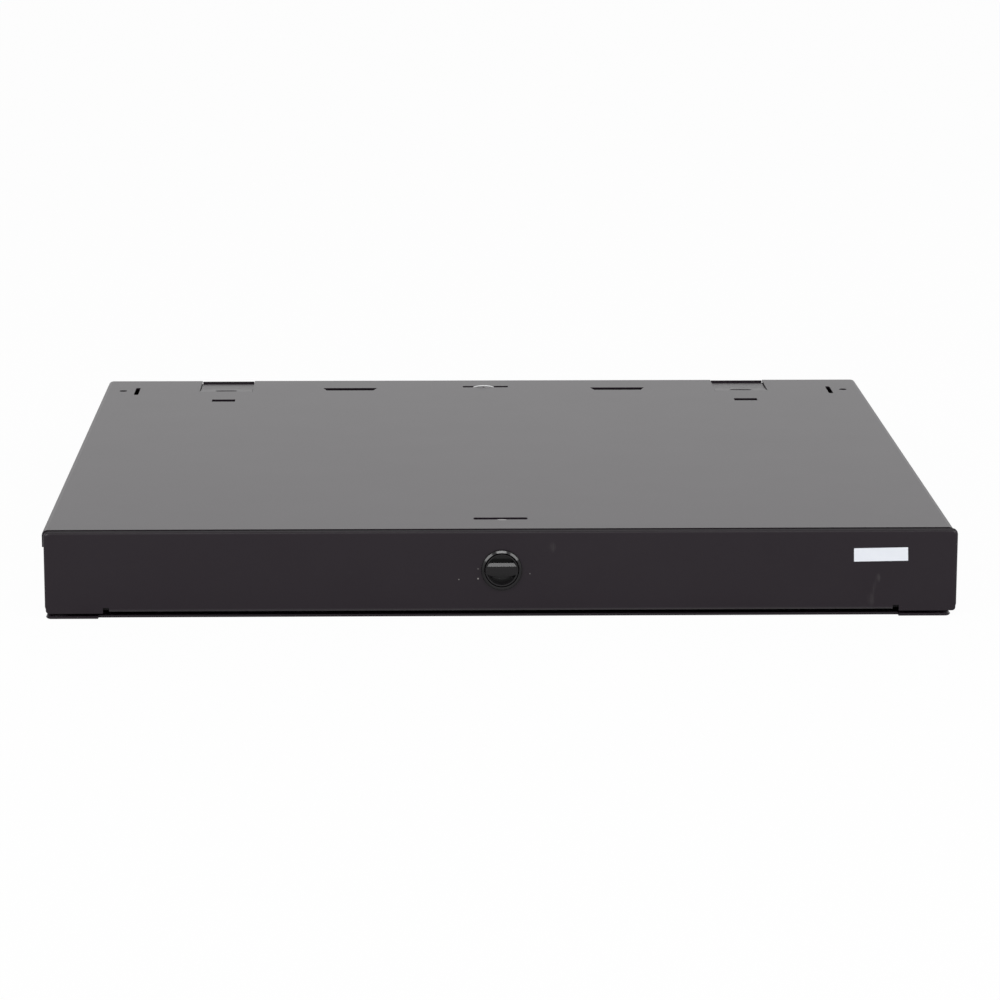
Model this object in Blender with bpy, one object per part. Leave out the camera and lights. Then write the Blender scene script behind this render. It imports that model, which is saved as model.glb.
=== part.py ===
"""Sliding fibre patch drawer, one rack unit high, closed, with its front towards -Y.

Metres, +Z up. The origin is at the bottom centre of the shell.
"""
from math import asin, atan2, cos, hypot, pi, radians, sin

import bmesh
import bpy
from mathutils import Matrix, Vector

# Shell
COVER_WIDTH = 0.447
COVER_DEPTH = 0.414
HEIGHT = 0.0437
COVER_SHEET = 0.0010
COVER_FLANGE = 0.0085
COVER_SETBACK = 0.0026
BASE_SHEET = 0.0012
BASE_TOP_FLANGE = 0.0092
BEND = 0.0010
COVER_BEND = 0.0015

# Clearances
SEAT = 0.0003
RUN = 0.0004
SWING = 0.0006
BORE_CLEARANCE = 0.0001

# Door, in front of the cover and a little to the right of its middle
DOOR_SIDE = 0.0002
DOOR_SHIFT = 0.0012
DOOR_SHEET = 0.0010
DOOR_DEPTH = 0.0030
DOOR_BOTTOM = 0.0033
DOOR_TOP_SPACE = 0.0003
DOOR_REVEAL = 0.0015
DOOR_EDGE = 0.0013
DOOR_SIDE_EDGE = 0.0025
DOOR_CORNER = 0.0025
EAR_BOTTOM = 0.0026
EAR_WIDTH = 0.0284
NOTCH_WIDTH = 0.0030
NOTCH_TOP = 0.0055
EAR_CORNER = 0.0015

# Hinge between tray and door
HINGE_BACK = 0.0034
HINGE_Z = 0.0076
HINGE_PIN = 0.0012
PIN_HEAD = 0.0020
PIN_HEAD_DEPTH = 0.0007
LUG_INSET = 0.0067
LUG_SHEET = 0.0012
LUG_REACH = 0.0020
ARM_GAP = 0.0009

# Feet of the base pan under the corners of the door
FOOT_WIDTH = 0.0257
LIP_SETBACK = 0.0027

# Openings in the cover
SLOT_END_FLAT = 0.000003
LATCH_SLOT = (0.0268, 0.0046)
LATCH_SLOT_CORNER = 0.0008
LATCH_SLOT_X = 0.0011
FRONT_SLOT_BACK = 0.0257
REAR_SLOT_BACK = 0.0210
TIE_SLOT = (0.0134, 0.0068)
TIE_SLOT_INSET = 0.0715
TIE_SLOT_BACK = 0.0643
LONG_SLOT = (0.0275, 0.0320, 0.0078)
LONG_SLOT_INSET = 0.1445
LONG_SLOT_BACK = 0.0285
SIDE_SLOT = (0.0026, 0.0225)
SIDE_SLOT_INSET = 0.0193
SIDE_SLOT_BACK = 0.0340
CORNER_HOLE = 0.0023
CORNER_HOLE_INSET = 0.0110
CORNER_HOLE_BACK = 0.0325
TAB_WIDTH = 0.0305
TAB_LENGTH = 0.0350
TAB_RAMP = 0.0140
TAB_DROP = 0.0014
TAB_RAMP_DROP = 0.0011
TAB_KERF = 0.0003
TAB_SLOT = (0.0131, 0.0046)
TAB_SLOT_BACK = 0.0318
UPSTAND_DROP = 0.0003

# Rear panel and its cable ports
PANEL_FLANGE = 0.0100
PORT = (0.0300, 0.0200)
PORT_Z = 0.0220
PORT_CORNER = 0.0040
GROMMET_LIP = 0.0020
GROMMET_WALL = 0.0017
GROMMET_SIDE = 0.0015

# Holes for rack brackets in the side walls
BRACKET_HOLE = 0.0022
BRACKET_ROWS = (0.0140, 0.0299)
BRACKET_FRONT = 0.0220
BRACKET_SETBACK = 0.1490
BRACKET_REAR = 0.0400

# Telescopic rails, one nested in the other
RAIL_SETBACK = 0.0120
RAIL_REAR_SPACE = 0.0435
RAIL_SHEET = 0.0011
RAIL_BEND = 0.0008
RAIL_BOTTOM = 0.0045
RAIL_TOP_SPACE = 0.0042
RAIL_OUTER_DEPTH = 0.0073
RAIL_LIP = 0.0017
RAIL_FLANGE = 0.0041
RAIL_INNER_DEPTH = 0.0068
RAIL_WIDTH = 0.0098

# Drawer tray
TRAY_SHEET = 0.0012
TRAY_BOTTOM = 0.0022
TRAY_TOP_SPACE = 0.0077
TRAY_REAR_SPACE = 0.0562
FRONT_LIP_TOP = 0.0100
REAR_LIP_TOP = 0.0120
FLOOR_SLOT = (0.0120, 0.0035)
FLOOR_SLOT_PAIR = 0.0100
FLOOR_SLOT_INSETS = (0.0444, 0.1544)
FLOOR_SLOT_FRONT = 0.0400
FLOOR_SLOT_REAR = 0.0428

# Panel frame across the tray
FRAME_BACK = 0.1100
FRAME_SHEET = 0.0012
FRAME_TOP_SPACE = 0.0047
FRAME_END_SPACE = 0.0096
FRAME_FOOT = 0.0100
FRAME_HEM = 0.0080
WINDOW_END = 0.01075
WINDOW_BORDER = 0.0025
WINDOW_CORNER = 0.0030

# Adapter panels, plungers and adapters
PANEL_COUNT = 3
PANEL_GAP = 0.0037
PANEL_TOP_SPACE = 0.0030
PANEL_FLOOR_SPACE = 0.0036
PANEL_SHEET = 0.0015
PANEL_CORNER = 0.0020
PLUNGER_INSET = 0.00555
PLUNGER_STEM = 0.0019
PLUNGER_BORE = 0.0021
PLUNGER_HEAD = 0.0040
PLUNGER_DOME = 0.0012
PLUNGER_NECK = 0.0032
PLUNGER_HEAD_LENGTH = 0.0062
PLUNGER_TAIL = 0.0052
ADAPTERS_PER_PANEL = 6
ADAPTER_ROW_END = 0.01525
ADAPTER_WIDTH = 0.0092
ADAPTER_HEIGHT = 0.0128
ADAPTER_REACH = 0.0135
ADAPTER_FLANGE = 0.0222
ADAPTER_FLANGE_DEPTH = 0.0020
CAP_HEIGHT = 0.0050
CAP_SPACING = 0.0062
CAP_REACH = 0.0045
CAP_CHAMFER = 0.0008

# Slack spools and cord guides on the tray
SPOOL_INSET = 0.1044
SPOOL_REAR = 0.1108
SPOOL_DRUM = 0.0300
SPOOL_RIM = 0.0380
SPOOL_WALL = 0.0015
SPOOL_TOP_SPACE = 0.0097
SPOOL_GAP_WIDTH = 0.0260
GUIDE_INSET = 0.0194
GUIDE_BACK = 0.0560
GUIDE_SIZE = (0.0260, 0.0280)
GUIDE_WALL = 0.0020
GUIDE_BEND = 0.0040
GUIDE_MOUTH = 0.0050
GUIDE_DEPTH = 0.0080

# Quarter-turn latches
FRONT_LATCH_X = 0.0011
REAR_LATCH_X = 0.0
LATCH_DROP = 0.0198
BEZEL = 0.0100
BEZEL_PROUD = 0.0018
BEZEL_CHAMFER = 0.0006
SLEEVE = 0.0091
SLEEVE_LENGTH = 0.0070
KNOB = 0.0082
KNOB_SUNK = 0.0003
KNOB_RIM = 0.0007
POCKET_DEPTH = 0.0062
GRIP_FRONT = 0.0032
GRIP_ROOT = 0.0044
KNOB_COLLAR = 0.0094
KNOB_COLLAR_DEPTH = 0.0012
STEM = 0.0030
SHOULDER = 0.0050
SHOULDER_DEPTH = 0.0030
LOCK_NUT = 0.0125
LOCK_NUT_DEPTH = 0.0026
CAM_REACH = 0.0205
CAM_TIP = 0.0120
CAM_HUB = 0.0062
CAM_SHEET = 0.0025
CAM_NUT = 0.0050
CAM_NUT_DEPTH = 0.0030

# Faces on a full circle, and the angle from which an edge is drawn sharp
FINE = 32
PLAIN = 24
COARSE = 12
SHARP_ANGLE = radians(35)

# What a step does with its form
JOIN = "UNION"
CUT = "DIFFERENCE"

# Planes that pieces share
FRONT = -COVER_DEPTH / 2
REAR = COVER_DEPTH / 2
COVER_UNDER = HEIGHT - COVER_SHEET
BASE_HALF = COVER_WIDTH / 2 - COVER_SHEET - SEAT
WALL_INNER = BASE_HALF - BASE_SHEET
BASE_TOP = COVER_UNDER - SEAT
COVER_FRONT = FRONT + COVER_SETBACK
DOOR_WIDTH = COVER_WIDTH + 2 * DOOR_SIDE
DOOR_FACE = FRONT - DOOR_REVEAL
DOOR_TOP = HEIGHT - DOOR_TOP_SPACE
EAR_INNER = DOOR_WIDTH / 2 - EAR_WIDTH
FOOT_INNER = BASE_HALF - FOOT_WIDTH
LATCH_Z = HEIGHT - LATCH_DROP
HINGE_Y = DOOR_FACE + HINGE_BACK
DOOR_SWEEP = hypot(DOOR_DEPTH - HINGE_BACK, HINGE_Z - EAR_BOTTOM)
WALL_FRONT = HINGE_Y + DOOR_SWEEP + SWING
TRAY_FRONT = WALL_FRONT
RAIL_FRONT = DOOR_FACE + RAIL_SETBACK
RAIL_BACK = REAR - RAIL_REAR_SPACE
RAIL_TOP = HEIGHT - RAIL_TOP_SPACE
RAIL_OUTER_WEB = WALL_INNER - SEAT
TRAY_HALF = RAIL_OUTER_WEB - RAIL_WIDTH - SEAT
TRAY_INNER = TRAY_HALF - TRAY_SHEET
TRAY_FLOOR = TRAY_BOTTOM + TRAY_SHEET
TRAY_TOP = HEIGHT - TRAY_TOP_SPACE
TRAY_BACK = REAR - TRAY_REAR_SPACE
LUG_X = TRAY_HALF - LUG_INSET
FRAME_Y = FRONT + FRAME_BACK
FRAME_WIDTH = 2 * (TRAY_INNER - FRAME_END_SPACE)
FRAME_TOP = HEIGHT - FRAME_TOP_SPACE
PANEL_PITCH = FRAME_WIDTH / PANEL_COUNT
PANEL_WIDTH = PANEL_PITCH - PANEL_GAP
PLUNGER_X = PANEL_WIDTH / 2 - PLUNGER_INSET
ADAPTER_PITCH = (PANEL_WIDTH - 2 * ADAPTER_ROW_END) / ADAPTERS_PER_PANEL
PANEL_TOP = FRAME_TOP - PANEL_TOP_SPACE
PANEL_LOW = TRAY_FLOOR + PANEL_FLOOR_SPACE
PANEL_HEIGHT = PANEL_TOP - PANEL_LOW
PANEL_Z = (PANEL_TOP + PANEL_LOW) / 2
PANEL_BACK = FRAME_Y - SEAT
PANEL_FRONT = PANEL_BACK - PANEL_SHEET
TAB_X = COVER_WIDTH / 2 - TIE_SLOT_INSET
LONG_SLOT_X = COVER_WIDTH / 2 - LONG_SLOT_INSET
SIDE_SLOT_X = COVER_WIDTH / 2 - SIDE_SLOT_INSET
CORNER_HOLE_X = COVER_WIDTH / 2 - CORNER_HOLE_INSET
SPOOL_X = TRAY_INNER - SPOOL_INSET
SPOOL_Y = TRAY_BACK - SPOOL_REAR
SPOOL_TOP = HEIGHT - SPOOL_TOP_SPACE
GUIDE_X = TRAY_INNER - GUIDE_INSET
HOLE_FOR_SLEEVE = SLEEVE + SEAT

MATERIALS = {
    "powder_coat": ((0.022, 0.021, 0.023), 0.55, 0.0),
    "zinc": ((0.62, 0.62, 0.63), 0.35, 1.0),
    "rail_steel": ((0.50, 0.51, 0.52), 0.30, 1.0),
    "black_plastic": ((0.018, 0.018, 0.019), 0.35, 0.0),
    "rubber": ((0.02, 0.02, 0.02), 0.80, 0.0),
    "adapter_blue": ((0.02, 0.16, 0.42), 0.40, 0.0),
}


def material(name):
    """The named finish, made once."""
    if name in bpy.data.materials:
        return bpy.data.materials[name]
    colour, roughness, metallic = MATERIALS[name]
    made = bpy.data.materials.new(name)
    made.use_nodes = True
    shader = made.node_tree.nodes["Principled BSDF"]
    shader.inputs["Base Color"].default_value = (*colour, 1)
    shader.inputs["Roughness"].default_value = roughness
    shader.inputs["Metallic"].default_value = metallic
    return made


# Outlines, each a list of points in the plane across the sweep

def arc(centre, radius, start, end, steps):
    """Points on an arc, angles in radians, both ends included."""
    turns = [start + (end - start) * k / steps for k in range(steps + 1)]
    return [(centre[0] + radius * cos(a), centre[1] + radius * sin(a)) for a in turns]


def circle(centre, radius, sides):
    return arc(centre, radius, 0, 2 * pi, sides)[:-1]


def rectangle(low, high):
    return [low, (high[0], low[1]), high, (low[0], high[1])]


def rounded(centre, half, radius, steps=3):
    """A rectangle with round corners; half is half its width and half its height."""
    points = []
    for quarter, (sx, sy) in enumerate(((1, 1), (-1, 1), (-1, -1), (1, -1))):
        corner = (centre[0] + sx * (half[0] - radius), centre[1] + sy * (half[1] - radius))
        points += arc(corner, radius, quarter * pi / 2, (quarter + 1) * pi / 2, steps)
    return points


def slot(centre, size):
    """An obround of the given width and height, with a hair of flat left at each end."""
    radius = min(size) / 2 - SLOT_END_FLAT
    return rounded(centre, (size[0] / 2, size[1] / 2), radius, 2)


def fold(path, sheet, bend, steps=3):
    """Outline of a folded sheet seen end-on.

    The path is the face on the right-hand side of its own direction, and the sheet's
    thickness lies to the left of it.
    """
    right, left = [], []
    for k, here in enumerate(path):
        before = path[k - 1] if k else None
        after = path[k + 1] if k + 1 < len(path) else None
        angles = [atan2(b[1] - a[1], b[0] - a[0]) + pi / 2
                  for a, b in ((before, here), (here, after)) if a and b]
        first, last = angles[0], angles[-1]
        if first == last:
            right.append(here)
            left.append((here[0] + sheet * cos(first), here[1] + sheet * sin(first)))
            continue
        turn = (last - first + pi) % (2 * pi) - pi
        reach = bend + sheet if turn > 0 else -bend
        scale = reach / (1 + cos(turn))
        centre = (here[0] + scale * (cos(first) + cos(last)),
                  here[1] + scale * (sin(first) + sin(last)))
        for step in range(steps + 1):
            angle = first + turn * step / steps
            toward = (cos(angle), sin(angle))
            for side, distance in ((right, reach), (left, reach - sheet)):
                side.append((centre[0] - toward[0] * distance, centre[1] - toward[1] * distance))
    return right + left[::-1]


def mirrored(outline, side):
    """The outline as it is for side 1, and mirrored in its first coordinate for side -1."""
    return [(side * a, b) for a, b in outline]


# Solid forms, drawn into a bmesh in the object's world coordinates

def swept_point(axis, point, along):
    a, b = point
    return {"X": (along, a, b), "Y": (a, along, b), "Z": (a, b, along)}[axis]


def prism(bm, outline, axis, start, end):
    """The outline swept along an axis from start to end."""
    corners = [bm.verts.new(swept_point(axis, p, start)) for p in outline]
    face = bm.faces.new(corners)
    grown = bmesh.ops.extrude_face_region(bm, geom=[face])["geom"]
    moved = [v for v in grown if isinstance(v, bmesh.types.BMVert)]
    shift = Vector(swept_point(axis, (0, 0), end - start))
    bmesh.ops.translate(bm, verts=moved, vec=shift)


def turned(bm, profile, axis, centre, sides, closed=False):
    """A profile of (radius, distance along the axis) points, spun once round the axis."""
    middle = Vector(swept_point(axis, centre, 0))
    radial = Vector(swept_point(axis, (1, 0), 0))
    along = Vector(swept_point(axis, (0, 0), 1))
    points = [bm.verts.new(middle + radial * r + along * t) for r, t in profile]
    pairs = list(zip(points, points[1:])) + ([(points[-1], points[0])] if closed else [])
    edges = [bm.edges.new(pair) for pair in pairs]
    bmesh.ops.spin(bm, geom=points + edges, cent=middle, axis=along, angle=2 * pi,
                   steps=sides, use_merge=True)
    bmesh.ops.remove_doubles(bm, verts=bm.verts, dist=1e-6)


def lofted(bm, rings, closed=False):
    """Rings with equally many points, skinned in order; open lofts are capped at both ends."""
    loops = [[bm.verts.new(point) for point in ring] for ring in rings]
    pairs = list(zip(loops, loops[1:])) + ([(loops[-1], loops[0])] if closed else [])
    count = len(loops[0])
    for one, two in pairs:
        for k in range(count):
            bm.faces.new((one[k], one[(k + 1) % count], two[(k + 1) % count], two[k]))
    if not closed:
        bm.faces.new(loops[0])
        bm.faces.new(loops[-1])


# Objects

def world_place(obj):
    return obj.location + world_place(obj.parent) if obj else Vector((0, 0, 0))


def anchor(name, place, parent=None):
    """An empty on a joint's axis, which carries the pieces that move there."""
    empty = bpy.data.objects.new(name, None)
    bpy.context.collection.objects.link(empty)
    empty.parent = parent
    empty.location = Vector(place) - world_place(parent)
    return empty


def add_object(name, draw, place, parent):
    """An object whose draw function fills a bmesh in world coordinates."""
    bm = bmesh.new()
    draw(bm)
    bmesh.ops.recalc_face_normals(bm, faces=bm.faces)
    mesh = bpy.data.meshes.new(name)
    bm.to_mesh(mesh)
    bm.free()
    mesh.transform(Matrix.Translation(-place))
    obj = bpy.data.objects.new(name, mesh)
    bpy.context.collection.objects.link(obj)
    obj.parent = parent
    obj.location = place - world_place(parent)
    return obj


def piece(name, finish, draw, steps=(), place=None, parent=None, smooth=False):
    """A sub-part: its main form, then the forms joined to it or cut from it in order."""
    place = Vector(place) if place else world_place(parent)
    obj = add_object(name, draw, place, parent)
    obj.data.materials.append(material(finish))
    for operation, form in steps:
        label = f"{name}_{form.__name__}"
        helper = add_object(label, form, place, parent)
        helper.hide_render = True
        helper.display_type = "WIRE"
        change = obj.modifiers.new(label, "BOOLEAN")
        change.operation = operation
        change.solver = "EXACT"
        change.object = helper
    if smooth:
        obj.data.shade_smooth()
        obj.data.set_sharp_from_angle(angle=SHARP_ANGLE)


# Shell

def tab_outline():
    """A lowered tie-down tab of the cover, seen from the side."""
    top = HEIGHT
    start = REAR - TAB_LENGTH - COVER_SHEET
    bend = REAR - TAB_LENGTH
    ramp_end = bend + TAB_RAMP
    end = REAR - BASE_SHEET - RUN
    upper = [(start, top), (bend, top), (ramp_end, top - TAB_RAMP_DROP), (end, top - TAB_DROP)]
    return upper + [(y, z - COVER_SHEET) for y, z in reversed(upper)]


def long_slot_outline(side):
    front, rear, depth = LONG_SLOT
    x, y = side * LONG_SLOT_X, REAR - LONG_SLOT_BACK
    return [(x - front / 2, y - depth / 2), (x + front / 2, y - depth / 2),
            (x + rear / 2, y + depth / 2), (x - rear / 2, y + depth / 2)]


def make_top_cover():
    half, drop = COVER_WIDTH / 2, HEIGHT - COVER_FLANGE
    channel = fold([(half, drop), (half, HEIGHT), (-half, HEIGHT), (-half, drop)],
                   COVER_SHEET, COVER_BEND)
    above, below = HEIGHT + COVER_SHEET, COVER_UNDER - COVER_SHEET

    def body(bm):
        prism(bm, channel, "Y", COVER_FRONT, REAR)

    def notches(bm):
        for side in (-1, 1):
            reach = TAB_WIDTH / 2 + TAB_KERF
            low, high = side * TAB_X - reach, side * TAB_X + reach
            prism(bm, rectangle((low, REAR - TAB_LENGTH), (high, REAR + SWING)), "Z", below, above)

    def tabs(bm):
        for side in (-1, 1):
            prism(bm, tab_outline(), "X", side * TAB_X - TAB_WIDTH / 2, side * TAB_X + TAB_WIDTH / 2)

    def slots(bm):
        half_slot = (LATCH_SLOT[0] / 2, LATCH_SLOT[1] / 2)
        outlines = [rounded((LATCH_SLOT_X, y), half_slot, LATCH_SLOT_CORNER, 2)
                    for y in (FRONT + FRONT_SLOT_BACK, REAR - REAR_SLOT_BACK)]
        for side in (-1, 1):
            outlines += [
                rectangle((side * TAB_X - TIE_SLOT[0] / 2, REAR - TIE_SLOT_BACK - TIE_SLOT[1] / 2),
                          (side * TAB_X + TIE_SLOT[0] / 2, REAR - TIE_SLOT_BACK + TIE_SLOT[1] / 2)),
                slot((side * TAB_X, REAR - TAB_SLOT_BACK), TAB_SLOT),
                long_slot_outline(side),
                slot((side * SIDE_SLOT_X, REAR - SIDE_SLOT_BACK), SIDE_SLOT),
                circle((side * CORNER_HOLE_X, REAR - CORNER_HOLE_BACK), CORNER_HOLE, COARSE)]
        for outline in outlines:
            prism(bm, outline, "Z", below - TAB_DROP, above)

    piece("top_cover", "powder_coat", body,
          ((CUT, notches), (JOIN, tabs), (CUT, slots)))


def make_base_pan():
    half, hem = BASE_HALF, BASE_HALF - BASE_TOP_FLANGE
    channel = fold([(-hem, BASE_TOP), (-half, BASE_TOP), (-half, 0), (half, 0), (half, BASE_TOP),
                    (hem, BASE_TOP)], BASE_SHEET, BEND)

    def body(bm):
        prism(bm, channel, "Y", DOOR_FACE, REAR)

    def wall_ends(bm):
        prism(bm, rectangle((DOOR_FACE - SWING, BASE_SHEET), (WALL_FRONT, HEIGHT)), "X",
              -COVER_WIDTH / 2, COVER_WIDTH / 2)

    def front_setback(bm):
        prism(bm, rectangle((-FOOT_INNER, DOOR_FACE - SWING), (FOOT_INNER, DOOR_FACE + LIP_SETBACK)),
              "Z", -BASE_SHEET, BASE_SHEET * 2)

    def bracket_holes(bm):
        for y in (FRONT + BRACKET_FRONT, FRONT + BRACKET_SETBACK, REAR - BRACKET_REAR):
            for z in BRACKET_ROWS:
                for side in (-1, 1):
                    prism(bm, circle((y, z), BRACKET_HOLE, COARSE), "X",
                          side * (WALL_INNER - BASE_SHEET), side * (BASE_HALF + BASE_SHEET))

    piece("base_pan", "powder_coat", body,
          ((CUT, wall_ends), (CUT, front_setback), (CUT, bracket_holes)))


def make_rear_panel():
    half = WALL_INNER - BEND
    foot = BASE_SHEET + SEAT
    section = fold([(REAR - PANEL_FLANGE, foot), (REAR, foot), (REAR, BASE_TOP),
                    (REAR - PANEL_FLANGE, BASE_TOP)], BASE_SHEET, BEND)

    def body(bm):
        prism(bm, section, "X", -half, half)

    def corner_reliefs(bm):
        inner = BASE_HALF - BASE_TOP_FLANGE - SEAT
        for side in (-1, 1):
            prism(bm, rectangle((REAR - 2 * PANEL_FLANGE, BASE_TOP - BASE_SHEET - SEAT),
                                (REAR + BASE_SHEET, HEIGHT)),
                  "X", side * inner, side * BASE_HALF)

    def hem_reliefs(bm):
        for side in (-1, 1):
            reach = TAB_WIDTH / 2 + SWING
            prism(bm, rectangle((REAR - 2 * PANEL_FLANGE, BASE_TOP - 3 * BASE_SHEET),
                                (REAR - BASE_SHEET, HEIGHT)),
                  "X", side * TAB_X - reach, side * TAB_X + reach)

    def upstands(bm):
        for side in (-1, 1):
            reach = TAB_WIDTH / 2
            prism(bm, rectangle((REAR - BASE_SHEET, BASE_TOP - 4 * BASE_SHEET),
                                (REAR, HEIGHT - UPSTAND_DROP)),
                  "X", side * TAB_X - reach, side * TAB_X + reach)

    def ports(bm):
        outlines = [rounded((side * TAB_X, PORT_Z), (PORT[0] / 2, PORT[1] / 2), PORT_CORNER)
                    for side in (-1, 1)]
        outlines.append(circle((REAR_LATCH_X, LATCH_Z), HOLE_FOR_SLEEVE, PLAIN))
        for outline in outlines:
            prism(bm, outline, "Y", REAR - 2 * BASE_SHEET, REAR + BASE_SHEET)

    piece("rear_panel", "powder_coat", body,
          ((CUT, corner_reliefs), (CUT, hem_reliefs), (JOIN, upstands), (CUT, ports)))


def make_grommets():
    """An edge trim round each cable port, with a lip on both faces of the panel."""
    through, lip, bore = -SEAT, GROMMET_LIP, -SEAT - GROMMET_WALL
    inside, outside = REAR - BASE_SHEET - SEAT, REAR + SEAT
    profile = [(bore, inside - GROMMET_SIDE), (lip, inside - GROMMET_SIDE), (lip, inside),
               (through, inside), (through, outside), (lip, outside),
               (lip, outside + GROMMET_SIDE), (bore, outside + GROMMET_SIDE)]
    for side, name in ((-1, "left_port_grommet"), (1, "right_port_grommet")):
        def body(bm, side=side):
            rings = []
            for grow, y in profile:
                outline = rounded((side * TAB_X, PORT_Z), (PORT[0] / 2 + grow, PORT[1] / 2 + grow),
                                  PORT_CORNER + grow)
                rings.append([(x, y, z) for x, z in outline])
            lofted(bm, rings, closed=True)
        piece(name, "rubber", body, smooth=True)


# Rails

def rail_sections():
    """End-on outlines of the outer, middle and inner members on the right side."""
    bottom, top = RAIL_BOTTOM, RAIL_TOP
    web = RAIL_OUTER_WEB
    tip = web - RAIL_OUTER_DEPTH
    outer = fold([(tip, bottom + RAIL_LIP + RAIL_SHEET), (tip, bottom), (web, bottom), (web, top),
                  (tip, top), (tip, top - RAIL_LIP - RAIL_SHEET)], RAIL_SHEET, RAIL_BEND / 2)
    step = RAIL_SHEET + RUN
    bottom, top, web = bottom + step, top - step, web - step
    tip = web - RAIL_FLANGE
    middle = fold([(tip, bottom), (web, bottom), (web, top), (tip, top)], RAIL_SHEET, RAIL_BEND)
    bottom, top = bottom + step, top - step
    web = TRAY_HALF + SEAT
    tip = web + RAIL_INNER_DEPTH
    inner = fold([(tip, top), (web, top), (web, bottom), (tip, bottom)], RAIL_SHEET, RAIL_BEND)
    return {"outer": outer, "middle": middle, "inner": inner}


def make_rails(parents):
    for member, section in rail_sections().items():
        for side, hand in ((-1, "left"), (1, "right")):
            def body(bm, section=section, side=side):
                prism(bm, mirrored(section, side), "Y", RAIL_FRONT, RAIL_BACK)
            piece(f"{hand}_{member}_rail", "rail_steel", body, parent=parents.get(member))


# Drawer

def make_tray(drawer):
    half = TRAY_HALF
    channel = fold([(-half, TRAY_TOP), (-half, TRAY_BOTTOM), (half, TRAY_BOTTOM), (half, TRAY_TOP)],
                   TRAY_SHEET, BEND)

    def body(bm):
        prism(bm, channel, "Y", TRAY_FRONT, TRAY_BACK)

    def lips(bm):
        reach = TRAY_INNER + TRAY_SHEET / 2
        middle = TRAY_BOTTOM + TRAY_SHEET / 2
        for y, top in ((TRAY_FRONT, FRONT_LIP_TOP), (TRAY_BACK - TRAY_SHEET, REAR_LIP_TOP)):
            prism(bm, rectangle((y, middle), (y + TRAY_SHEET, top)), "X", -reach, reach)

    def lugs(bm):
        outline = ([(TRAY_FRONT + TRAY_SHEET / 2, HINGE_Z + LUG_REACH)]
                   + arc((HINGE_Y, HINGE_Z), LUG_REACH, pi / 2, 3 * pi / 2, 8)
                   + [(TRAY_FRONT + TRAY_SHEET / 2, HINGE_Z - LUG_REACH)])
        for side in (-1, 1):
            prism(bm, outline, "X", side * LUG_X, side * (LUG_X + LUG_SHEET))

    def pin_holes(bm):
        for side in (-1, 1):
            prism(bm, circle((HINGE_Y, HINGE_Z), HINGE_PIN + BORE_CLEARANCE, COARSE), "X",
                  side * (LUG_X - LUG_SHEET), side * (LUG_X + 2 * LUG_SHEET))

    def floor_slots(bm):
        xs = [side * (TRAY_INNER - inset) for inset in FLOOR_SLOT_INSETS for side in (-1, 1)]
        for y in (FRONT + FLOOR_SLOT_FRONT, TRAY_BACK - FLOOR_SLOT_REAR):
            for x in xs:
                for shift in (-FLOOR_SLOT_PAIR / 2, FLOOR_SLOT_PAIR / 2):
                    prism(bm, slot((x, y + shift), FLOOR_SLOT), "Z",
                          TRAY_BOTTOM - TRAY_SHEET, TRAY_FLOOR + TRAY_SHEET)

    piece("drawer_tray", "powder_coat", body,
          ((JOIN, lips), (JOIN, lugs), (CUT, pin_holes), (CUT, floor_slots)), parent=drawer)


def make_hinge_pins(drawer):
    start = LUG_X - SEAT
    end = LUG_X + LUG_SHEET * 2 + ARM_GAP + SEAT
    profile = [(0, start - PIN_HEAD_DEPTH), (PIN_HEAD, start - PIN_HEAD_DEPTH), (PIN_HEAD, start),
               (HINGE_PIN, start), (HINGE_PIN, end), (PIN_HEAD, end),
               (PIN_HEAD, end + PIN_HEAD_DEPTH), (0, end + PIN_HEAD_DEPTH)]
    for side, name in ((-1, "left_hinge_pin"), (1, "right_hinge_pin")):
        def body(bm, side=side):
            turned(bm, [(r, side * x) for r, x in profile], "X", (HINGE_Y, HINGE_Z), COARSE)
        piece(name, "zinc", body, parent=drawer, smooth=True)


def panel_centres():
    middle = (PANEL_COUNT - 1) / 2
    return [(k - middle) * PANEL_PITCH for k in range(PANEL_COUNT)]


def make_panel_frame(drawer):
    foot = TRAY_FLOOR + SEAT
    section = fold([(FRAME_Y + FRAME_HEM, FRAME_TOP), (FRAME_Y, FRAME_TOP), (FRAME_Y, foot),
                    (FRAME_Y + FRAME_FOOT, foot)], FRAME_SHEET, BEND)

    def body(bm):
        prism(bm, section, "X", -FRAME_WIDTH / 2, FRAME_WIDTH / 2)

    def windows(bm):
        for x in panel_centres():
            half = (PANEL_WIDTH / 2 - WINDOW_END, PANEL_HEIGHT / 2 - WINDOW_BORDER)
            outlines = [rounded((x, PANEL_Z), half, WINDOW_CORNER)]
            outlines += [circle((x + side * PLUNGER_X, PANEL_Z), PLUNGER_BORE, COARSE)
                         for side in (-1, 1)]
            for outline in outlines:
                prism(bm, outline, "Y", FRAME_Y - FRAME_SHEET, FRAME_Y + 2 * FRAME_SHEET)

    piece("panel_frame", "powder_coat", body, ((CUT, windows),), parent=drawer)


def adapter_centres(panel_x):
    middle = (ADAPTERS_PER_PANEL - 1) / 2
    return [panel_x + (k - middle) * ADAPTER_PITCH for k in range(ADAPTERS_PER_PANEL)]


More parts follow.
